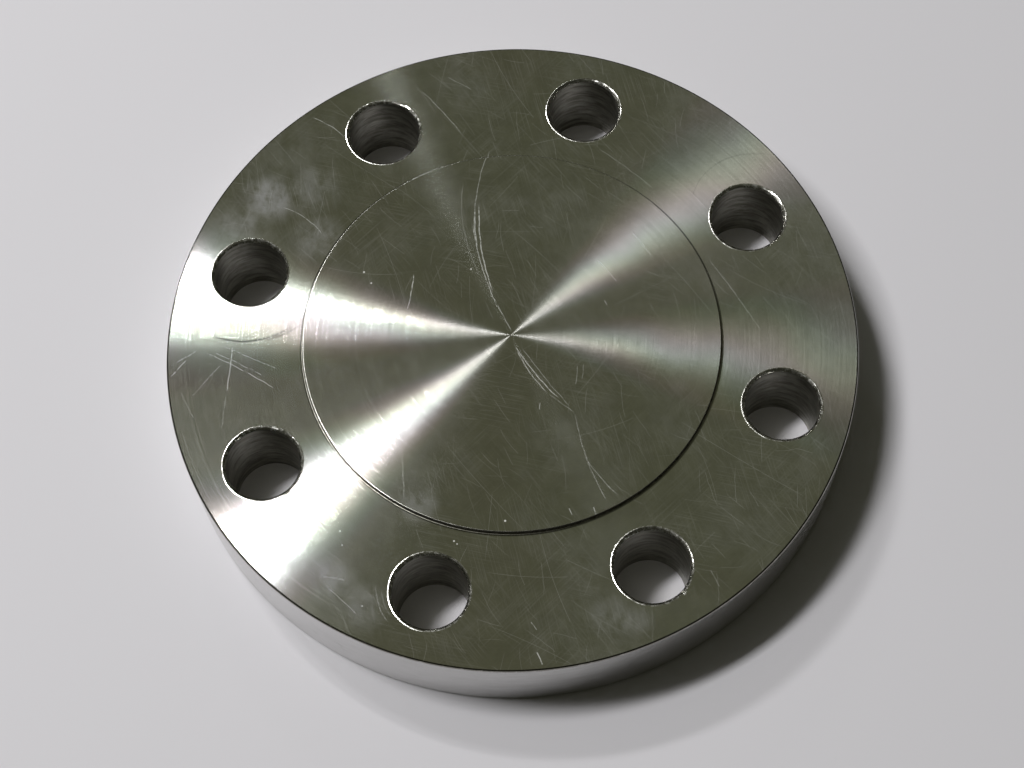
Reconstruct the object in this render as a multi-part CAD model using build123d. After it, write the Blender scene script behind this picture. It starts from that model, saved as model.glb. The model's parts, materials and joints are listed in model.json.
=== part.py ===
from build123d import *
import os

# Blind pipe flange: NPS 3, pressure class 300, raised face, turned from one piece of stainless steel.
# The origin is the centre of the back face, and +Z is the flange axis, which leaves through the raised face.
# All sizes are in millimetres. The bolt holes straddle the X and Y axes, as they do on a piping drawing.

# The disc
outside_diameter = 210.0
ring_thickness = 27.0
rim_chamfer = 0.5

# The raised gasket face
raised_face_diameter = 127.0
raised_face_height = 1.6
raised_face_edge_chamfer = 0.3
raised_face_root_radius = 0.4

# The bolt holes, which clear 3/4 inch studs
bolt_circle_diameter = 168.3
bolt_hole_count = 8
bolt_hole_diameter = 22.2
front_mouth_chamfer = 1.0
back_mouth_chamfer = 0.5

outside_radius = outside_diameter / 2
raised_face_radius = raised_face_diameter / 2
bolt_hole_radius = bolt_hole_diameter / 2
overall_thickness = ring_thickness + raised_face_height
hole_spacing = 360.0 / bolt_hole_count
cutter_overrun = 1.0


def turned_disc():
    """The disc as it leaves the lathe: half of its section, turned about the flange axis."""
    root_start = raised_face_radius + raised_face_root_radius
    root_end = ring_thickness + raised_face_root_radius
    with BuildPart() as disc:
        with BuildSketch(Plane.XZ):
            with BuildLine():
                Polyline(
                    (root_start, ring_thickness),
                    (outside_radius - rim_chamfer, ring_thickness),
                    (outside_radius, ring_thickness - rim_chamfer),
                    (outside_radius, rim_chamfer),
                    (outside_radius - rim_chamfer, 0),
                    (0, 0),
                    (0, overall_thickness),
                    (raised_face_radius - raised_face_edge_chamfer, overall_thickness),
                    (raised_face_radius, overall_thickness - raised_face_edge_chamfer),
                    (raised_face_radius, root_end),
                )
                RadiusArc(
                    (raised_face_radius, root_end),
                    (root_start, ring_thickness),
                    -raised_face_root_radius,
                )
            make_face()
        revolve(axis=Axis.Z)
    return disc.part


def hole_cutter():
    """The shape that one bolt hole removes: a straight bore with a countersunk mouth at each face."""
    front_mouth_radius = bolt_hole_radius + front_mouth_chamfer
    back_mouth_radius = bolt_hole_radius + back_mouth_chamfer
    with BuildPart() as cutter:
        with BuildSketch(Plane.XZ):
            with BuildLine():
                Polyline(
                    (0, -cutter_overrun),
                    (back_mouth_radius, -cutter_overrun),
                    (back_mouth_radius, 0),
                    (bolt_hole_radius, back_mouth_chamfer),
                    (bolt_hole_radius, ring_thickness - front_mouth_chamfer),
                    (front_mouth_radius, ring_thickness),
                    (front_mouth_radius, ring_thickness + cutter_overrun),
                    (0, ring_thickness + cutter_overrun),
                    close=True,
                )
            make_face()
        revolve(axis=Axis.Z)
    return cutter.part


def blind_flange():
    """The finished flange: the turned disc with its ring of bolt holes."""
    with BuildPart() as flange:
        add(turned_disc())
        with PolarLocations(bolt_circle_diameter / 2, bolt_hole_count, start_angle=hole_spacing / 2):
            add(hole_cutter(), mode=Mode.SUBTRACT)
    return flange.part


os.makedirs("parts", exist_ok=True)
export_step(blind_flange(), "parts/blind_flange.step")
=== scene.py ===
"""Raised-face blind flange of turned stainless steel, lying on its back face on a pale floor."""

import json
import math
import random

import bmesh
import bpy
from mathutils import Matrix, Vector
from mathutils.geometry import delaunay_2d_cdt


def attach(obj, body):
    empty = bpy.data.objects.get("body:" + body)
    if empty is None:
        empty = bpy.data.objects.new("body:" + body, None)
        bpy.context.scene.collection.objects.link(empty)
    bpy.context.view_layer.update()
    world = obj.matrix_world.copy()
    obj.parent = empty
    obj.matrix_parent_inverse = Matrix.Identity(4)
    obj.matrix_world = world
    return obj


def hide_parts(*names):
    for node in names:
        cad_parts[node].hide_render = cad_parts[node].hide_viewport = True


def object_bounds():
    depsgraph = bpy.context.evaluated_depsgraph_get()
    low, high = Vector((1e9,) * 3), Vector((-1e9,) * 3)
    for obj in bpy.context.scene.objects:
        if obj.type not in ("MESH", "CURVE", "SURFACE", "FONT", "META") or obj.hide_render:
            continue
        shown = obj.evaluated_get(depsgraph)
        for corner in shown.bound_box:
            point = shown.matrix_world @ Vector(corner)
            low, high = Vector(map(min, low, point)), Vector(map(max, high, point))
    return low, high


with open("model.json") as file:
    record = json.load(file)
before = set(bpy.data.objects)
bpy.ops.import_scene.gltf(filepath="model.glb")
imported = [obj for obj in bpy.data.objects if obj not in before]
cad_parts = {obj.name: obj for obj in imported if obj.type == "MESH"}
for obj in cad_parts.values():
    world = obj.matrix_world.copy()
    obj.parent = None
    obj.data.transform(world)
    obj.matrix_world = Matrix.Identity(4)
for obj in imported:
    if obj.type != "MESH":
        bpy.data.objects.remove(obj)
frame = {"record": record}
cad_low, cad_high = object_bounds()

MM = 0.001
NODE = "blind_flange"
MOUNTS = {mount["name"]: mount for mount in frame["record"]["mounts"]}
PATTERN = MOUNTS["bolt_circle"]["dims"]

# Sizes of the flange, from the frame; the step's height and radius repeat those of the CAD part
RADIUS = (cad_high.x - cad_low.x) / 2
TOP = MOUNTS["gasket_face"]["pos_m"][2]
STEP = 1.6 * MM
RING_TOP = TOP - STEP
STEP_RADIUS = 63.5 * MM
BOLT_CIRCLE_RADIUS = PATTERN["pcd_mm"] / 2 * MM
HOLE_COUNT = PATTERN["count"]
HOLE_RADIUS = PATTERN["hole_r_mm"] * MM
HOLE_ANGLES = [math.tau * (i + 0.5) / HOLE_COUNT for i in range(HOLE_COUNT)]

# The rim's edges: width of the two bevels together, and where they meet, inwards from the wall and down
RIM_BEVEL = 0.6 * MM
RIM_BEVEL_CORNER = (0.18 * MM, 0.22 * MM)

# The raised face: its rounded edge, which is more worn on one side, its root and the lathe's centre pip
STEP_EDGE_RADIUS = 0.24 * MM
STEP_EDGE_WEAR = 0.14 * MM
STEP_EDGE_WORN_SIDE = math.radians(130)
STEP_ROOT_RADIUS = 0.4 * MM
CENTRE_PIP_RADIUS = 0.45 * MM
CENTRE_PIP_DEPTH = 0.35 * MM

# The mouth of a hole. MOUTH_ROUNDING is the exponent of its profile, where 1 would be a straight chamfer,
# and LIP is where the lip pushed up round it ends, as a share of the mouth's width
MOUTH_CHAMFER = 0.9 * MM
MOUTH_DEPTH = 0.75 * MM
MOUTH_ROUNDING = 1.6
LIP = 1.25
LIP_RISE = 0.045 * MM
BACK_CHAMFER = 0.5 * MM
# the loops of a mouth: share of its width from the bore outwards, and roughness of the file marks in mm
MOUTH_LOOPS = ((0.0, 0.02), (0.3, 0.03), (0.6, 0.035), (0.85, 0.015), (1.0, 0.008), (LIP, 0.0))
# shortest and longest stroke of the file, in segments of the mesh
FILE_STROKE = (2, 9)
# unevenness of a mouth in millimetres, as {waves round the circle: strength}, and of the rings of a bore
WIDTH_WAVES = {1: 0.10, 2: 0.06, 3: 0.05, 7: 0.03, 11: 0.02, 23: 0.015}
DEPTH_WAVES = {1: 0.12, 2: 0.08, 5: 0.06, 13: 0.03, 29: 0.02}
BORE_UNEVENNESS = 0.012
HOLE_SEED, WIDTH_SEED, DEPTH_SEED = 100, 200, 300
# nicks in two of the mouths: number of the hole and the nick's place round it
NICKS = {4: math.radians(-57), 6: math.radians(-50)}
NICK_HALF_ANGLE = math.radians(4)
NICK_SIZE = 0.4 * MM

# Fineness of the mesh
RIM_SEGMENTS = 720
STEP_SEGMENTS = 360
HOLE_SEGMENTS = 160
WALL_ROWS = 6
QUARTER_ROWS = 6
BORE_ROWS = 26
FACE_LOOP_RADII = (55 * MM, 40 * MM, 25 * MM, 12 * MM, 5 * MM, 2 * MM)
# a turn between two faces that shades as a corner, and a normal's height from which a face counts as level
CORNER = math.radians(22)
LEVEL = 0.9999

# Material slots of the mesh
# the last slot is painted shade on the wall and the root of the raised-face step
(TURNED_FACE, TURNED_RIM, DRILLED_BORE, DEBURRED_EDGE,
 BACK_FACE, RIM_EDGE, STEP_EDGE, SHADED_STEP_ROOT) = range(8)


def add_object(name, data, columns=None, place=None):
    """A new object in the scene; columns are its X, Y and Z axes and place is its origin."""
    piece = bpy.data.objects.new(name, data)
    if columns:
        piece.matrix_world = Matrix.Translation(place) @ Matrix(columns).transposed().to_4x4()
    bpy.context.scene.collection.objects.link(piece)
    return piece


# ---------------------------------------------------------------- the mesh

def polar(radius, angle, height, centre=(0.0, 0.0)):
    """The point at radius and angle about the vertical axis through centre."""
    return Vector((centre[0] + radius * math.cos(angle), centre[1] + radius * math.sin(angle), height))


def circle(radius, height, segments, centre=(0.0, 0.0)):
    """Points of a circle about the vertical axis through centre."""
    return [polar(radius, math.tau * i / segments, height, centre) for i in range(segments)]


def add_loop(mesh, points):
    """New vertices of the mesh at the points."""
    return [mesh.verts.new(point) for point in points]


def join_loops(mesh, lower, upper, material, faceted=False):
    """A band of quads between two loops of the same length, lower one first for an outward normal."""
    count = len(lower)
    for i in range(count):
        j = (i + 1) % count
        face = mesh.faces.new((lower[i], lower[j], upper[j], upper[i]))
        face.material_index = material
        face.smooth = not faceted


def fill_flat(mesh, outline, islands, material, upward):
    """A flat face with holes: a triangulation of the area inside outline and outside every island."""
    loops = [outline, *islands]
    verts = [vert for loop in loops for vert in loop]
    edges = []
    start = 0
    for loop in loops:
        count = len(loop)
        edges += [(start + i, start + (i + 1) % count) for i in range(count)]
        start += count
    flat = [vert.co.xy for vert in verts]
    tolerance = 1e-9
    triangles = delaunay_2d_cdt(flat, edges, [], 0, tolerance)[2]
    for triangle in triangles:
        corners = [verts[i] for i in triangle]
        middle = sum((vert.co.xy for vert in corners), Vector((0, 0))) / len(corners)
        if any(inside(middle, loop) for loop in islands) or not inside(middle, outline):
            continue
        area = (corners[1].co.xy - corners[0].co.xy).cross(corners[2].co.xy - corners[0].co.xy)
        if (area > 0) != upward:
            corners.reverse()
        face = mesh.faces.new(corners)
        face.material_index = material
        face.smooth = True


def inside(point, loop):
    """Whether point is inside a nearly round loop."""
    centre = sum((vert.co.xy for vert in loop), Vector((0, 0))) / len(loop)
    offset = point - centre
    angle = math.atan2(offset.y, offset.x) % math.tau
    first = loop[0].co.xy - centre
    start = math.atan2(first.y, first.x)
    index = round((angle - start) % math.tau / math.tau * len(loop)) % len(loop)
    return offset.length < (loop[index].co.xy - centre).length


def wobble(seed, strengths):
    """A smooth closed function of the angle: a sum of waves, given as {waves round the circle: strength}."""
    draw = random.Random(seed)
    waves = [(count, strength * draw.uniform(0.5, 1.0), draw.uniform(0, math.tau))
             for count, strength in strengths.items()]
    return lambda angle: sum(strength * math.sin(count * angle + phase) for count, strength, phase in waves)


def build_rim(mesh):
    """The outer wall and its two edges, each of two bevels; returns its lowest and highest loops."""
    inward, down = RIM_BEVEL_CORNER
    edge = [(RADIUS - RIM_BEVEL, 0.0), (RADIUS - inward, down)]
    wall = [(RADIUS, RIM_BEVEL + (RING_TOP - 2 * RIM_BEVEL) * i / WALL_ROWS) for i in range(WALL_ROWS + 1)]
    profile = edge + wall + [(radius, RING_TOP - height) for radius, height in reversed(edge)]
    loops = [add_loop(mesh, circle(radius, height, RIM_SEGMENTS)) for radius, height in profile]
    for i in range(len(loops) - 1):
        on_wall = len(edge) <= i < len(edge) + WALL_ROWS
        join_loops(mesh, loops[i], loops[i + 1], TURNED_RIM if on_wall else RIM_EDGE)
    return loops[0], loops[-1]


def worn_edge_points(turn):
    """A loop of the raised face's rounded edge, at turn round the rounding, from the wall to the top."""
    points = []
    for i in range(STEP_SEGMENTS):
        around = math.tau * i / STEP_SEGMENTS
        size = STEP_EDGE_RADIUS + STEP_EDGE_WEAR * math.cos(around - STEP_EDGE_WORN_SIDE)
        radius = STEP_RADIUS - size * (1 - math.cos(turn))
        points.append(polar(radius, around, TOP - size * (1 - math.sin(turn))))
    return points


def build_step(mesh):
    """The raised face with its edge, its root and the lathe's centre pip; returns the root's outer loop."""
    quarter = [math.pi / 2 * i / QUARTER_ROWS for i in range(QUARTER_ROWS + 1)]
    root = [circle(STEP_RADIUS + STEP_ROOT_RADIUS * (1 - math.sin(turn)),
                   RING_TOP + STEP_ROOT_RADIUS * (1 - math.cos(turn)), STEP_SEGMENTS) for turn in quarter]
    edge = [worn_edge_points(turn) for turn in quarter]
    face = [circle(radius, TOP, STEP_SEGMENTS) for radius in (*FACE_LOOP_RADII, CENTRE_PIP_RADIUS)]
    loops = [add_loop(mesh, points) for points in root + edge + face]
    for i in range(len(loops) - 1):
        # the root and the wall of the step take the painted shade
        if i < len(root):
            material = SHADED_STEP_ROOT
        elif i < len(root) + QUARTER_ROWS:
            material = STEP_EDGE
        else:
            material = TURNED_FACE
        join_loops(mesh, loops[i], loops[i + 1], material)
    bottom = mesh.verts.new((0, 0, TOP - CENTRE_PIP_DEPTH))
    last = loops[-1]
    for i in range(len(last)):
        pip = mesh.faces.new((last[i], last[(i + 1) % len(last)], bottom))
        pip.material_index = DRILLED_BORE
        pip.smooth = True
    return loops[0]


def filed_loop(draw, centre, share, chatter, width_at, depth_at):
    """Points of one loop of a filed mouth, where each stroke of the file moves a few of them together."""
    points = []
    stroke_end = 0
    for i in range(HOLE_SEGMENTS):
        around = math.tau * i / HOLE_SEGMENTS
        if i == stroke_end:
            stroke_end = i + draw.randint(*FILE_STROKE)
            bite = draw.uniform(-chatter, chatter)
            dip = draw.uniform(-chatter, chatter)
        down = depth_at(around) * (1 - min(share, 1.0)) ** MOUTH_ROUNDING
        if 0 < share < 1:
            down = max(0.0, down + dip * MM)
        elif share == 1:
            down = -LIP_RISE + dip * MM
        radius = HOLE_RADIUS + width_at(around) * share + bite * MM
        points.append(polar(radius, around, RING_TOP - down, centre))
    return points


def build_hole(mesh, number):
    """One drilled hole with hand-deburred mouths; returns its loops in the back and in the front face."""
    angle = HOLE_ANGLES[number]
    centre = (BOLT_CIRCLE_RADIUS * math.cos(angle), BOLT_CIRCLE_RADIUS * math.sin(angle))
    draw = random.Random(HOLE_SEED + number)
    width_waves = wobble(WIDTH_SEED + number, WIDTH_WAVES)
    depth_waves = wobble(DEPTH_SEED + number, DEPTH_WAVES)
    ring = [draw.gauss(0, BORE_UNEVENNESS) * MM for _ in range(BORE_ROWS + 1)]

    def width_at(around):
        width = MOUTH_CHAMFER + width_waves(around) * MM
        if number in NICKS and abs(math.remainder(around - NICKS[number], math.tau)) < NICK_HALF_ANGLE:
            width += NICK_SIZE
        return width

    def depth_at(around):
        return MOUTH_DEPTH + depth_waves(around) * MM

    bore_length = RING_TOP - MOUTH_DEPTH - BACK_CHAMFER
    profile = [(BACK_CHAMFER, 0.0), (0.0, BACK_CHAMFER)]
    profile += [(ring[i], BACK_CHAMFER + bore_length * i / BORE_ROWS) for i in range(1, BORE_ROWS)]
    loops = [add_loop(mesh, circle(HOLE_RADIUS + offset, height, HOLE_SEGMENTS, centre))
             for offset, height in profile]
    mouth_start = len(loops)
    for share, chatter in MOUTH_LOOPS:
        loops.append(add_loop(mesh, filed_loop(draw, centre, share, chatter, width_at, depth_at)))
    for i in range(len(loops) - 1):
        filed = i == 0 or i >= mouth_start
        faceted = mouth_start < i < len(loops) - 2
        # the wall faces the hole's axis, so the band runs the other way round
        join_loops(mesh, loops[i + 1], loops[i], DEBURRED_EDGE if filed else DRILLED_BORE, faceted)
    return loops[0], loops[-1]


def sharpen(mesh):
    """Hard edges at corners, and all round the flat faces, so that those shade as truly flat."""
    for edge in mesh.edges:
        first, second = (face.normal for face in edge.link_faces)
        same_level = (abs(first.z) > LEVEL) == (abs(second.z) > LEVEL)
        edge.smooth = first.angle(second) < CORNER and same_level


def build_flange():
    """The flange as one mesh object."""
    mesh = bmesh.new()
    back, front = build_rim(mesh)
    root = build_step(mesh)
    mouths = [build_hole(mesh, number) for number in range(HOLE_COUNT)]
    fill_flat(mesh, front, [root, *(mouth[1] for mouth in mouths)], TURNED_FACE, upward=True)
    fill_flat(mesh, back, [mouth[0] for mouth in mouths], BACK_FACE, upward=False)
    mesh.normal_update()
    data = bpy.data.meshes.new("flange_body")
    sharpen(mesh)
    mesh.to_mesh(data)
    mesh.free()
    return add_object("flange_body", data)


# ---------------------------------------------------------------- the materials

class Nodes:
    """Short names for the shader nodes that the materials share.

    A value is a number, a vector or another node's socket.
    """

    def __init__(self, name):
        self.material = bpy.data.materials.new(name)
        self.material.use_nodes = True
        self.tree = self.material.node_tree

    def add(self, kind, inputs=(), **settings):
        """A new node with its settings and its inputs, a dict of values by socket name or number."""
        node = self.tree.nodes.new(kind)
        for key, value in settings.items():
            setattr(node, key, value)
        for name, value in dict(inputs).items():
            self.feed(node.inputs[name], value)
        return node

    def feed(self, socket, value):
        """A link from another socket, or the socket's own value."""
        if isinstance(value, bpy.types.NodeSocket):
            self.tree.links.new(value, socket)
        else:
            socket.default_value = value

    def surface(self, inputs):
        """The finished material, with the inputs given to its shader."""
        shader = self.tree.nodes["Principled BSDF"]
        for name, value in inputs.items():
            self.feed(shader.inputs[name], value)
        return self.material

    def math(self, operation, *values, clamp=False):
        """An operation on numbers."""
        node = self.add("ShaderNodeMath", enumerate(values), operation=operation, use_clamp=clamp)
        return node.outputs[0]

    def product(self, *values):
        """All the numbers multiplied together."""
        result = values[0]
        for value in values[1:]:
            result = self.math("MULTIPLY", result, value)
        return result

    def strongest(self, masks):
        """The largest of the numbers at each point."""
        result = masks[0]
        for mask in masks[1:]:
            result = self.math("MAXIMUM", result, mask)
        return result

    def vector(self, operation, *values, output="Vector"):
        """An operation on vectors."""
        inputs = dict(enumerate(values))
        if operation == "SCALE":
            inputs = {0: values[0], "Scale": values[1]}
        return self.add("ShaderNodeVectorMath", inputs, operation=operation).outputs[output]

    def number(self, operation, *values):
        """A vector operation that gives a number, such as a length or a dot product."""
        return self.vector(operation, *values, output="Value")

    def flat(self, vector):
        """The horizontal part of a vector."""
        return self.vector("MULTIPLY", vector, (1, 1, 0))

    def split(self, vector):
        """The three numbers of a vector."""
        return self.add("ShaderNodeSeparateXYZ", {0: vector}).outputs

    def turn(self, vector, angle):
        """A vector turned about the vertical by an angle in radians."""
        inputs = {"Vector": vector, "Angle": angle}
        return self.add("ShaderNodeVectorRotate", inputs, rotation_type="Z_AXIS").outputs[0]

    def noise(self, vector, scale, detail=2.0, rough=0.5):
        """Noise over a position."""
        inputs = {"Vector": vector, "Scale": scale, "Detail": detail, "Roughness": rough}
        return self.add("ShaderNodeTexNoise", inputs).outputs["Fac"]

    def line_noise(self, value, scale, detail, rough=0.5):
        """Noise that changes with one number only, less its middle."""
        inputs = {"W": value, "Scale": scale, "Detail": detail, "Roughness": rough}
        noise = self.add("ShaderNodeTexNoise", inputs, noise_dimensions="1D")
        return self.math("SUBTRACT", noise.outputs["Fac"], 0.5)

    def ramp(self, value, low, high, to_low=0.0, to_high=1.0, smooth=True):
        """value mapped from low..high to to_low..to_high and held beyond."""
        kind = "SMOOTHSTEP" if smooth else "LINEAR"
        inputs = {"Value": value, "From Min": low, "From Max": high, "To Min": to_low, "To Max": to_high}
        return self.add("ShaderNodeMapRange", inputs, interpolation_type=kind).outputs["Result"]

    def mix(self, factor, a, b):
        """Colours a and b mixed by factor."""
        return self.add("ShaderNodeMix", {0: factor, 6: a, 7: b}, data_type="RGBA").outputs[2]

    def place(self):
        """Position on the object in millimetres."""
        return self.vector("SCALE", self.add("ShaderNodeTexCoord").outputs["Object"], 1 / MM)

    def tilted_normal(self, tilt):
        """The surface's normal, tilted by a small vector."""
        normal = self.add("ShaderNodeNewGeometry").outputs["Normal"]
        return self.vector("NORMALIZE", self.vector("ADD", normal, tilt))


def heading(degrees):
    """The flat unit vector that points at an angle from +X."""
    return Vector((math.cos(math.radians(degrees)), math.sin(math.radians(degrees)), 0))


def thin_line(n, distance, half_width, strength=1.0):
    """strength where distance is near 0, fading out from 0.3 of the half width to the whole of it."""
    return n.ramp(n.math("ABSOLUTE", distance), half_width * 0.3, half_width, strength, 0.0)


def scratches(n, place, seed, spacing, length, half_width, share, towards=0.0, spread=180.0):
    """Fine bowed scratches, one to a cell in a share of the cells: 1 on a scratch.

    They run within half of spread on either side of the angle towards, both in degrees.
    """
    # each seed takes its cells from another part of the plane
    shifted = n.vector("ADD", place, (37.0 * seed, 19.0 * seed, 0))
    cells = n.add("ShaderNodeTexVoronoi", {"Vector": shifted, "Scale": 1 / spacing}, voronoi_dimensions="2D")
    draw = n.add("ShaderNodeSeparateColor", {0: cells.outputs["Color"]}).outputs
    offset = n.flat(n.vector("SUBTRACT", shifted, cells.outputs["Position"]))
    angle = n.math("MULTIPLY_ADD", draw[0], -math.radians(spread), math.radians(spread / 2 - towards))
    axes = n.split(n.turn(offset, angle))
    bow = n.product(n.math("SUBTRACT", draw[2], 0.5), 0.5 / length)
    across = n.math("MULTIPLY_ADD", n.product(axes[0], axes[0]), bow, axes[1])
    ends = n.ramp(n.math("ABSOLUTE", axes[0]), length * 0.25, length * 0.5, 1.0, 0.0)
    chosen = n.ramp(draw[1], 0.0, share, 1.0, 0.0, smooth=False)
    return n.product(thin_line(n, across, half_width), ends, chosen)


def stroke(n, place, start, end, bow, half_width, strength):
    """One scratch from start to end, bowed to its left by bow; everything in millimetres but the strength."""
    run = Vector(end) - Vector(start)
    middle = (Vector(end) + Vector(start)) / 2
    unit = run.normalized()
    offset = n.vector("SUBTRACT", place, (middle.x, middle.y, 0))
    along = n.number("DOT_PRODUCT", offset, (unit.x, unit.y, 0))
    across = n.number("DOT_PRODUCT", offset, (-unit.y, unit.x, 0))
    along = n.math("DIVIDE", along, run.length / 2)
    across = n.math("MULTIPLY_ADD", n.product(along, along), bow, n.math("SUBTRACT", across, bow))
    ends = n.ramp(n.math("ABSOLUTE", along), 0.8, 1.0, 1.0, 0.0)
    return n.product(thin_line(n, across, half_width, strength), ends)


def washer_arc(n, place, centre, radius, middle, spread, half_width, strength):
    """Part of the ring that a washer's edge left round a bolt hole; middle and spread in degrees."""
    offset = n.vector("SUBTRACT", n.flat(place), (*centre, 0))
    away = n.math("SUBTRACT", n.number("LENGTH", offset), radius)
    facing = n.number("DOT_PRODUCT", n.vector("NORMALIZE", offset), heading(middle))
    limit = math.cos(math.radians(spread / 2))
    return n.product(thin_line(n, away, half_width, strength), n.ramp(facing, limit, limit + 0.02))


def rubbed(n, place, angle, seed):
    """A patchy field of hairlines that all run at one angle in degrees, as a rag or a bench leaves them."""
    turned = n.turn(place, math.radians(-angle))
    drawn_out = n.vector("MULTIPLY_ADD", turned, (0.06, 3.2, 0), (seed, seed, 0))
    patches = n.noise(n.vector("ADD", place, (seed * 40, 0, 0)), scale=0.04)
    return n.product(n.ramp(n.noise(drawn_out, scale=1.0), 0.50, 0.72), n.ramp(patches, 0.42, 0.62))


def blob(n, place, centre, size, strength):
    """A soft round patch: strength in its middle, 0 beyond its size in millimetres."""
    offset = n.vector("SUBTRACT", n.flat(place), (*centre, 0))
    return n.ramp(n.number("LENGTH", offset), size * 0.2, size, strength, 0.0)


# The deepest scratches of the front face, in millimetres: start, end, bow, half width, strength
LONG_SCRATCHES = [
    # a pair that runs down from the top of the raised face to its centre
    ((1, 67), (-7.5, 37), -1.5, 0.20, 0.45), ((-7.5, 40), (-3, 10), -1.1, 0.22, 0.75),
    ((-3, 11), (0.3, 1), 0, 0.20, 0.60), ((-4.8, 47), (-3.9, 15), -1.4, 0.24, 1.00),
    ((-6.4, 45), (-7, 31), -0.3, 0.24, 0.90), ((-9, 55), (-7, 21), -2.5, 0.20, 0.30),
    # the same slip going on below the centre
    ((0.5, -3), (12, -23), -0.8, 0.22, 0.90), ((1.2, -5), (9, -21), -0.9, 0.20, 0.80),
    ((2.5, -4), (15, -26), -0.5, 0.16, 0.45), ((9, -21), (16, -28), 0, 0.18, 0.40),
    ((16, -28), (22, -58), -1.4, 0.20, 0.45), ((17, -42), (25.5, -56), -0.6, 0.20, 0.45),
    # single ones on the raised face
    ((-27.4, 24.6), (-30.6, 12), 0.2, 0.22, 0.90), ((-36.4, -22), (-37, -49.5), 0.3, 0.30, 0.40),
    ((41, 31), (46.2, 21), 0, 0.20, 0.60), ((29, 22.7), (34.4, 13.7), 0, 0.20, 0.55),
    ((38, 33), (43, 25), 0, 0.16, 0.40), ((18.6, -12.5), (17.2, -19), 0.3, 0.18, 0.35),
    ((20.5, -12), (19.3, -17.5), 0.3, 0.16, 0.30), ((6.1, -23.3), (5.5, -25.8), 0, 0.22, 0.55),
    ((29.5, 8.3), (30.3, 6.2), 0, 0.20, 0.50), ((10.5, -58), (11.2, -60.3), 0, 0.22, 0.70),
    ((17.6, -58.3), (18.1, -60.8), 0, 0.22, 0.70),
    # on the ring, upper side
    ((-54.6, 86.2), (-44.8, 77.3), 0.7, 0.20, 0.55), ((-66.3, 54.2), (-54.5, 42.7), 1.4, 0.20, 0.45),
    ((-19.3, 92.2), (-7.4, 73.5), 0.5, 0.20, 0.45), ((-22.2, 96.4), (-15.3, 83), 0.4, 0.18, 0.35),
    ((-10, 96), (-2.6, 90), 0, 0.18, 0.30), ((34.7, 63.3), (50.6, 45.6), 0.3, 0.20, 0.25),
    ((63.2, 19.7), (75.8, -8), 0.3, 0.22, 0.30),
    # on the ring, crossing one another at the left
    ((-84.5, 8), (-87.3, -8.6), 0.1, 0.24, 0.90), ((-87.3, -8.6), (-89.4, -20), 0, 0.20, 0.40),
    ((-103.8, 3), (-95.4, 7.3), 0, 0.20, 0.70), ((-103.9, -0.5), (-98.6, 4.6), 0, 0.20, 0.80),
    ((-94, 7), (-72, -8.8), 0.6, 0.20, 0.70), ((-91, 6.4), (-75.3, -4), 0.3, 0.18, 0.60),
    ((-88.3, 8.4), (-70.6, -2.3), 0, 0.18, 0.55), ((-98, -8), (-88, 2), 0, 0.18, 0.50),
    ((-101, -6), (-97, -16), 0, 0.18, 0.45),
    # on the ring, lower side
    ((-63, -69.5), (-56, -71.5), 0, 0.24, 0.35), ((-61.5, -73), (-53.6, -82.4), 0.2, 0.20, 0.45),
    ((-47.6, -74), (-45.1, -85.5), -0.8, 0.20, 0.50), ((-46, -76), (-43.8, -84), -0.6, 0.18, 0.35),
    ((-3.8, -99.4), (-2.8, -103.4), 0, 0.24, 0.90), ((-4.5, -90.4), (-3, -93), 0, 0.20, 0.50),
    ((48.4, -81), (50.4, -86.5), 0, 0.20, 0.30),
]

# Small dents that catch the light, and greasy or scuffed patches: centre, size in millimetres, strength
SPECKS = [((-8.4, -59.6), 0.45, 1.0), ((-23.8, -63.4), 0.4, 0.9), ((-23, -64.4), 0.35, 0.7),
          ((-56.5, -56.3), 0.5, 1.0), ((-56.2, -60.7), 0.35, 0.7), ((-51.9, -79.9), 0.4, 0.7),
          ((-42.6, 27.1), 0.45, 0.9), ((-40.7, 23), 0.4, 0.8), ((-9.7, 24), 0.4, 0.8)]
SMUDGES = [((-70, 58), 12, 0.85), ((-58, 60), 14, 0.45), ((-80, 49), 13, 0.5), ((-56, 42), 11, 0.5),
           ((-64, 72), 22, 0.2), ((-60, -71), 10, 0.7), ((-52, -80), 10, 0.5), ((-33, -51), 8, 0.6),
           ((18, -91), 9, 0.35), ((25, -94), 7, 0.45), ((-28, 78), 20, 0.22), ((-5, 92), 16, 0.15),
           ((60, -70), 20, 0.1)]

# What washers left beside two holes: centre, radius, middle and spread in degrees, half width, strength
WASHER_ARCS = [((-78.5, 32), 23.4, -90, 62, 0.30, 0.95), ((-76.5, 31.5), 23.2, -70, 30, 0.26, 0.8),
               ((80.5, 35), 19.8, 118, 84, 0.14, 0.25), ((81, 33.5), 21.6, 95, 50, 0.14, 0.22)]

# Directions in degrees and seeds of the fields of hairlines
RUBBED_FIELDS = [(-58, 3), (-82, 5), (38, 9), (-20, 13)]

# A painted rainbow sheen in the base colour, laid in the sectors where the lamps' fans of light lie on the
# turned face:
# pairs of opposite sectors, middle and half width in degrees; how strong it is; how its hues turn round the
# disc, and outwards in each millimetre
PAINTED_RAINBOW_SECTORS = [(167, 19), (34, 16)]
PAINTED_RAINBOW_STRENGTH = 0.045
RAINBOW_TURNS = 16.0
RAINBOW_TWIST = 0.085
RAINBOW_DRIFT = 5.0

# Slopes that the tool marks give the front, the outer wall and the back
FINE_MARK_SLOPE = 0.42
BROAD_MARK_SLOPE = 0.03
WALL_MARK_SLOPE = 0.10
BACK_MARK_SLOPE = 0.22

# How much each mark on the front face scatters the lamps' light instead of mirroring the dark room, as a
# share of the surface that isn't metallic, so that it shows pale on the steel
SCRATCH_SCATTER = 0.55
FINE_SCRATCH_SHARE = 0.25
SMUDGE_SCATTER = 0.27
HAIRLINE_SCATTER = 0.05
FILM_SHARE = 0.14

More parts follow.
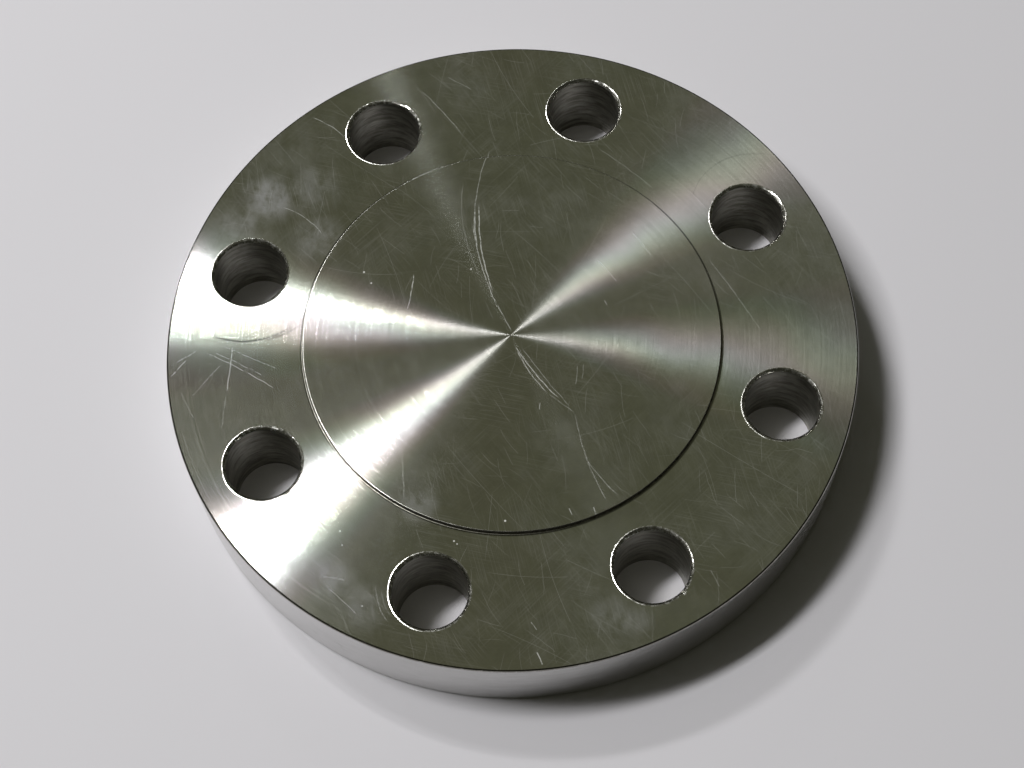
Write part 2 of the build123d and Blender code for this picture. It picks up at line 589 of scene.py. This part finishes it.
# Roughness of the front face, and what its rings and its pits add to it
FACE_ROUGHNESS = 0.139
RING_ROUGHNESS = 0.03
PIT_ROUGHNESS = 0.012

# Two colours for each surface, mixed in patches
FACE_STEELS = ((0.80, 0.79, 0.745, 1), (0.79, 0.80, 0.75, 1))
WALL_STEELS = ((0.56, 0.555, 0.54, 1), (0.68, 0.675, 0.665, 1))
# dark colours that paint the shade inside the deep bolt holes
BORE_SHADE_STEELS = ((0.19, 0.185, 0.155, 1), (0.50, 0.49, 0.44, 1))
FILED_STEELS = ((0.62, 0.61, 0.56, 1), (0.90, 0.89, 0.85, 1))
# darker colours that paint a dark reflection along the bevels of the rim's edges
RIM_EDGE_SHADE_STEELS = ((0.28, 0.27, 0.245, 1), (0.52, 0.51, 0.48, 1))
STEP_EDGE_STEELS = ((0.60, 0.59, 0.55, 1), (0.80, 0.79, 0.75, 1))
# dark colours that paint the shade on the step's wall and root
ROOT_SHADE_STEELS = ((0.34, 0.33, 0.29, 1), (0.12, 0.115, 0.09, 1))
BACK_STEELS = ((0.66, 0.65, 0.62, 1), (0.54, 0.52, 0.48, 1))
SMUDGE_COLOUR = (0.78, 0.79, 0.90, 1)


def painted_rainbow_sheen(n, flat, radius, outward):
    """A painted rainbow sheen in the base colour, standing in for the iridescence of very regular tool marks:
    a faint tint that turns through the hues round the disc, in the sectors where the lamps' fans lie.
    """
    axes = n.split(flat)
    around = n.product(n.math("ARCTAN2", axes[1], axes[0]), RAINBOW_TURNS)
    drift = n.product(n.noise(flat, scale=0.03), RAINBOW_DRIFT)
    phase = n.math("ADD", n.math("MULTIPLY_ADD", radius, RAINBOW_TWIST, around), drift)
    sectors = []
    for middle, half_width in PAINTED_RAINBOW_SECTORS:
        facing = n.math("ABSOLUTE", n.number("DOT_PRODUCT", outward, heading(middle)))
        edge = math.cos(math.radians(half_width))
        sectors.append(n.ramp(facing, edge, (1 + edge) / 2))
    amount = n.product(n.strongest(sectors), n.ramp(radius, 8.0, 35.0, 0.2, 1.0), PAINTED_RAINBOW_STRENGTH)
    third = 2.1  # of a turn of the phase, in radians, between red, green and blue
    channels = [n.math("MULTIPLY_ADD", n.math("COSINE", n.math("ADD", phase, shift)), amount, 1.0)
                for shift in (0.0, -third, third)]
    return n.add("ShaderNodeCombineXYZ", enumerate(channels)).outputs[0]


def face_scratches(n, place, flat, drawn):
    """Scratches of the front face: a listed set of deep ones, and four random layers of fine ones."""
    deep = n.strongest([stroke(n, drawn, *scratch) for scratch in LONG_SCRATCHES])
    gaps = n.ramp(n.noise(place, scale=0.9, detail=3.0), 0.30, 0.55, 0.35, 1.0)
    fine = n.strongest([
        scratches(n, flat, 1, spacing=34, length=60, half_width=0.085, share=1.0, towards=-62, spread=50),
        scratches(n, flat, 2, spacing=21, length=34, half_width=0.08, share=1.0),
        scratches(n, drawn, 3, spacing=10, length=15, half_width=0.08, share=0.9, towards=-70, spread=60),
        scratches(n, drawn, 4, spacing=7, length=9, half_width=0.08, share=0.7, towards=-60, spread=120),
    ])
    return n.math("MAXIMUM", n.product(fine, FINE_SCRATCH_SHARE), n.product(deep, gaps))


def face_smudges(n, place, drawn):
    """Greasy patches of the front face, streaky inside, over a thin uneven film."""
    streaks = n.noise(n.vector("MULTIPLY", drawn, (0.20, 0.12, 1.0)), scale=1.0, detail=5.0, rough=0.6)
    cloud = n.ramp(streaks, 0.22, 0.70)
    smudge = n.product(n.strongest([blob(n, drawn, *patch) for patch in SMUDGES]), cloud)
    film = n.ramp(n.noise(place, scale=0.035, detail=4.0, rough=0.6), 0.45, 0.70)
    return n.math("MAXIMUM", smudge, n.product(film, cloud, FILM_SHARE))


def turned_face():
    """Fine-turned stainless steel: circular tool marks that spread each lamp into fans, and wear."""
    n = Nodes("turned_face")
    place = n.place()
    flat = n.flat(place)
    radius = n.number("LENGTH", flat)
    outward = n.vector("NORMALIZE", flat)

    # slopes of the circular tool marks, which are the same all the way round
    fine = n.line_noise(radius, scale=9.0, detail=3.0, rough=0.7)
    broad = n.line_noise(radius, scale=0.9, detail=1.0)
    slope = n.math("ADD", n.product(fine, FINE_MARK_SLOPE), n.product(broad, BROAD_MARK_SLOPE))

    # positions that waver by a fraction of a millimetre, so that nothing drawn with them is quite straight
    waver = n.add("ShaderNodeTexNoise", {"Vector": place, "Scale": 0.25, "Detail": 2.0}).outputs["Color"]
    waver = n.vector("SCALE", n.vector("SUBTRACT", waver, (0.5, 0.5, 0.5)), 0.7)
    drawn = n.vector("ADD", flat, waver)

    # how much of the steel scatters light instead of mirroring it
    smudge = face_smudges(n, place, drawn)
    scatter = n.math("ADD", n.product(face_scratches(n, place, flat, drawn), SCRATCH_SCATTER),
                     n.product(smudge, SMUDGE_SCATTER))
    scatter = n.math("MAXIMUM", scatter, n.strongest([blob(n, flat, *speck) for speck in SPECKS]))
    hairlines = n.strongest([rubbed(n, flat, *field) for field in RUBBED_FIELDS])
    scatter = n.math("MULTIPLY_ADD", hairlines, HAIRLINE_SCATTER, scatter)

    rings = n.line_noise(radius, scale=1.7, detail=4.0, rough=0.7)
    pits = n.ramp(n.noise(place, scale=3.0, detail=3.0, rough=0.7), 0.60, 0.72)
    roughness = n.math("MULTIPLY_ADD", rings, RING_ROUGHNESS, FACE_ROUGHNESS)

    # colour: patches, smudges and a painted rainbow sheen, darkened by rings, mottling, washer marks and a
    # band of painted shade beside the step's root
    patches = n.ramp(n.noise(place, scale=0.02, detail=3.0), 0.35, 0.65)
    steel = n.mix(n.product(smudge, 0.6), n.mix(patches, *FACE_STEELS), SMUDGE_COLOUR)
    # painted sheen: the rainbow tint multiplies the base colour in the sectors of the lamps' fans
    steel = n.vector("MULTIPLY", steel, painted_rainbow_sheen(n, flat, radius, outward))
    ringed = n.math("MULTIPLY_ADD", rings, 0.10, 1.0)
    mottle = n.ramp(n.noise(drawn, scale=0.16, detail=6.0, rough=0.7), 0.35, 0.65, 0.94, 1.04)
    arcs = n.strongest([washer_arc(n, flat, *arc) for arc in WASHER_ARCS])
    # painted shade: the ring face darkened in a narrow band next to the root of the step
    corner = n.math("SUBTRACT", radius, (STEP_RADIUS + STEP_ROOT_RADIUS) / MM + 0.1)
    root_shade_band = n.ramp(n.math("ABSOLUTE", corner), 0.15, 0.5, 0.35, 1.0)
    shade = n.product(ringed, mottle, n.math("SUBTRACT", 1.0, arcs), root_shade_band)

    return n.surface({
        "Base Color": n.vector("SCALE", steel, shade),
        "Metallic": n.math("SUBTRACT", 1.0, scatter, clamp=True),
        "Roughness": n.math("MULTIPLY_ADD", pits, PIT_ROUGHNESS, roughness),
        "Anisotropic": 1.0,
        "Tangent": outward,
        "Normal": n.tilted_normal(n.vector("SCALE", outward, slope)),
    })


def turned_rim():
    """The outer wall, turned with a coarser feed: lines round the rim, and a few handling marks."""
    n = Nodes("turned_rim")
    place = n.place()
    feed = n.line_noise(n.split(place)[2], scale=3.0, detail=3.0, rough=0.7)
    tilt = n.add("ShaderNodeCombineXYZ", {"Z": n.product(feed, WALL_MARK_SLOPE)}).outputs[0]
    stretched = n.vector("MULTIPLY", place, (0.10, 0.10, 1.6))
    streaks = n.noise(stretched, scale=1.0, detail=5.0, rough=0.65)
    scuffs = n.ramp(n.noise(place, scale=0.12, detail=6.0, rough=0.7), 0.60, 0.75)
    roughness = n.ramp(streaks, 0.3, 0.7, 0.155, 0.185)
    return n.surface({
        "Base Color": n.mix(n.ramp(streaks, 0.3, 0.7), *WALL_STEELS),
        "Metallic": n.math("MULTIPLY_ADD", scuffs, -0.08, 1.0),
        "Roughness": n.math("MULTIPLY_ADD", scuffs, 0.10, roughness),
        "Anisotropic": 0.9,
        "Tangent": n.add("ShaderNodeCombineXYZ", {"Z": 1.0}).outputs[0],
        "Normal": n.tilted_normal(tilt),
    })


def drilled_bore():
    """The wall of a drilled hole: rough drilled steel, its colour darkened to paint the shade inside the deep
    hole, with the drill's spiral lines and torn streaks.
    """
    n = Nodes("drilled_bore")
    place = n.place()
    height = n.product(n.split(place)[2], 2.4)
    inputs = {"Vector": n.flat(place), "W": height, "Scale": 1.0, "Detail": 4.0, "Roughness": 0.7}
    lines = n.add("ShaderNodeTexNoise", inputs, noise_dimensions="4D").outputs["Fac"]
    stretched = n.vector("MULTIPLY", place, (0.12, 0.12, 0.7))
    coarse = n.noise(stretched, scale=1.0, detail=5.0, rough=0.7)
    pale_streaks = n.product(n.ramp(coarse, 0.35, 0.65), n.ramp(lines, 0.25, 0.75, 0.55, 1.0))
    bump = n.add("ShaderNodeBump", {"Height": lines, "Strength": 0.5, "Distance": 0.15 * MM})
    return n.surface({
        # painted shade: the bore's darkened colours
        "Base Color": n.mix(pale_streaks, *BORE_SHADE_STEELS),
        "Metallic": 1.0,
        "Roughness": n.ramp(lines, 0.3, 0.7, 0.30, 0.50),
        "Normal": bump.outputs[0],
    })


def deburred_edge():
    """Edges broken by hand: a bright, rough, uneven band."""
    n = Nodes("deburred_edge")
    chatter = n.noise(n.place(), scale=0.7, detail=4.0, rough=0.7)
    bump = n.add("ShaderNodeBump", {"Height": chatter, "Strength": 0.4, "Distance": 0.15 * MM})
    return n.surface({
        "Base Color": n.mix(n.ramp(chatter, 0.35, 0.65), *FILED_STEELS),
        "Metallic": 1.0,
        "Roughness": n.ramp(chatter, 0.35, 0.65, 0.18, 0.30),
        "Normal": bump.outputs[0],
    })


def turned_edge(name, steels, roughness):
    """An edge broken on the lathe: smooth, and paler where it has been knocked."""
    n = Nodes(name)
    worn = n.ramp(n.noise(n.place(), scale=0.5, detail=5.0, rough=0.7), 0.50, 0.72)
    return n.surface({
        "Base Color": n.mix(worn, *steels),
        "Metallic": 1.0,
        "Roughness": n.math("MULTIPLY_ADD", worn, 0.12, roughness),
    })


def painted_shade_step_root():
    """The wall and the root of the raised-face step, in dark steel colours that paint the shade in the corner
    of the step.
    """
    n = Nodes("painted_shade_step_root")
    shade_mottle = n.ramp(n.noise(n.place(), scale=0.6, detail=5.0, rough=0.7), 0.30, 0.65)
    return n.surface({
        "Base Color": n.mix(shade_mottle, *ROOT_SHADE_STEELS),
        "Metallic": 1.0,
        "Roughness": n.math("MULTIPLY_ADD", shade_mottle, 0.15, 0.24),
    })


def back_face():
    """The back, turned more coarsely than the front and dulled by lying on benches."""
    n = Nodes("back_face")
    place = n.place()
    flat = n.flat(place)
    outward = n.vector("NORMALIZE", flat)
    feed = n.line_noise(n.number("LENGTH", flat), scale=2.2, detail=3.0, rough=0.7)
    worn = n.strongest([
        scratches(n, place, 7, spacing=20, length=24, half_width=0.16, share=0.8),
        scratches(n, place, 8, spacing=9, length=9, half_width=0.14, share=0.7),
    ])
    stain = n.ramp(n.noise(place, scale=0.03, detail=5.0, rough=0.6), 0.45, 0.70)
    roughness = n.math("MULTIPLY_ADD", worn, 0.2, 0.24)
    return n.surface({
        "Base Color": n.mix(stain, *BACK_STEELS),
        "Metallic": n.math("MULTIPLY_ADD", worn, -0.2, 1.0),
        "Roughness": n.math("MULTIPLY_ADD", stain, 0.12, roughness),
        "Anisotropic": 0.95,
        "Tangent": outward,
        "Normal": n.tilted_normal(n.vector("SCALE", outward, n.product(feed, BACK_MARK_SLOPE))),
    })


# ---------------------------------------------------------------- the stage

CAMERA_AIM = Vector((-1.5, -15.6, 27.0)) * MM
CAMERA_DISTANCE = 592.8 * MM
CAMERA_AZIMUTH = math.radians(-3.14)
CAMERA_ELEVATION = math.radians(65.1)
CAMERA_ROLL = math.radians(-3.6)
CAMERA_LENS = 69.36
CAMERA_CLIP = 10 * MM

# fan_azimuth in degrees, lean as add_lamp says, sizes and distance in metres
LAMPS = [
    dict(name="lamp_main", fan_azimuth=213.6, lean=0.55, length=0.66, width=0.19, distance=2.0, radiance=64),
    dict(name="lamp_left_bright", fan_azimuth=164.9, lean=0.37, length=0.22, width=0.07, distance=2.2,
         radiance=132),
    dict(name="lamp_left_dim", fan_azimuth=171.6, lean=0.43, length=0.18, width=0.12, distance=2.2,
         radiance=70),
    dict(name="lamp_far", fan_azimuth=108.6, lean=0.42, length=0.24, width=0.05, distance=2.0, radiance=17,
         colour=(0.96, 1.0, 0.98)),
    dict(name="lamp_glow", fan_azimuth=208.0, lean=0.50, length=0.50, width=1.10, distance=2.1, radiance=1.1),
]

FLOOR_HALF_SIZE = 3.0
FLOOR_COLOUR = (0.70, 0.687, 0.717, 1)
FLOOR_ROUGHNESS = 0.9
FLOOR_SPECULAR = 0.2

# The room is dark but for a paler ceiling round one direction; each row is the cosine of the angle from
# that direction and the colour there
CEILING_DIRECTION = (-0.14, 0.40, 0.906)
ROOM_COLOURS = [(0.40, (0.022, 0.022, 0.016, 1)), (0.97, (0.0755, 0.0765, 0.049, 1))]


def direction(azimuth, elevation):
    """Unit vector from the object towards a viewer; azimuth 0 is a viewer on the -Y side."""
    return Vector((math.sin(azimuth) * math.cos(elevation), -math.cos(azimuth) * math.cos(elevation),
                   math.sin(elevation)))


def add_camera():
    """The camera at the photo's viewing angle."""
    back = direction(CAMERA_AZIMUTH, CAMERA_ELEVATION)
    level = Vector((0, 0, 1)).cross(back).normalized()
    upright = back.cross(level)
    right = level * math.cos(CAMERA_ROLL) + upright * math.sin(CAMERA_ROLL)
    data = bpy.data.cameras.new("camera")
    data.lens = CAMERA_LENS
    data.clip_start = CAMERA_CLIP
    place = CAMERA_AIM + back * CAMERA_DISTANCE
    camera = add_object("camera", data, (right, back.cross(right), back), place)
    bpy.context.scene.camera = camera
    return camera


def add_lamp(camera, name, fan_azimuth, lean, length, width, distance, radiance, colour=(1.0, 1.0, 1.0)):
    """A rectangular lamp, placed so that its fan of light on the turned face points at fan_azimuth.

    A turned face mirrors a lamp along the line where the half-way direction between lamp and camera leans:
    lean is the length of the flat part of (to lamp + to camera). length runs along the fan, width across it.
    """
    centre = Vector((0, 0, TOP))
    to_camera = (camera.matrix_world.translation - centre).normalized()
    fan = heading(fan_azimuth)
    flat = fan * lean - Vector((to_camera.x, to_camera.y, 0))
    to_lamp = Vector((flat.x, flat.y, math.sqrt(1 - flat.length_squared)))
    along = Vector((fan.x, fan.y, -fan.dot(flat) / to_lamp.z)).normalized()
    data = bpy.data.lights.new(name, "AREA")
    data.shape = "RECTANGLE"
    data.size = length
    data.size_y = width
    data.energy = radiance * math.pi * length * width
    data.color = colour
    add_object(name, data, (along, to_lamp.cross(along), to_lamp), centre + to_lamp * distance)


def add_floor():
    """A large plain square under the flange."""
    size = FLOOR_HALF_SIZE
    data = bpy.data.meshes.new("floor")
    corners = [(-size, -size, 0), (size, -size, 0), (size, size, 0), (-size, size, 0)]
    data.from_pydata(corners, [], [(0, 1, 2, 3)])
    data.materials.append(Nodes("floor").surface({
        "Base Color": FLOOR_COLOUR,
        "Roughness": FLOOR_ROUGHNESS,
        "Specular IOR Level": FLOOR_SPECULAR,
    }))
    floor = add_object("floor", data)


def add_world():
    """A dim room with a paler ceiling above and behind the object, where the camera sees it in the face."""
    world = bpy.data.worlds.new("studio")
    world.use_nodes = True
    tree = world.node_tree
    towards = tree.nodes.new("ShaderNodeVectorMath")
    towards.operation = "DOT_PRODUCT"
    towards.inputs[1].default_value = CEILING_DIRECTION
    ramp = tree.nodes.new("ShaderNodeValToRGB")
    tree.links.new(tree.nodes.new("ShaderNodeTexCoord").outputs["Generated"], towards.inputs[0])
    tree.links.new(towards.outputs["Value"], ramp.inputs[0])
    tree.links.new(ramp.outputs[0], tree.nodes["Background"].inputs["Color"])
    for stop, (position, colour) in zip(ramp.color_ramp.elements, ROOM_COLOURS):
        stop.position = position
        stop.color = colour
    bpy.context.scene.world = world


def main():
    """Builds the flange, its materials and the stage."""
    bpy.context.scene.view_settings.view_transform = "Standard"
    flange = build_flange()
    # in the order of the mesh's material slots
    for material in (
        turned_face(), turned_rim(), drilled_bore(), deburred_edge(), back_face(),
        # the rim's bevels take darker colours: a painted dark reflection along the rim's edges
        turned_edge("rim_edge", RIM_EDGE_SHADE_STEELS, roughness=0.10),
        turned_edge("step_edge", STEP_EDGE_STEELS, roughness=0.24),
        # painted shade on the step's wall and root
        painted_shade_step_root(),
    ):
        flange.data.materials.append(material)
    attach(flange, "root")
    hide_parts(NODE)

    camera = add_camera()
    for lamp in LAMPS:
        add_lamp(camera, **lamp)
    add_world()
    add_floor()


main()
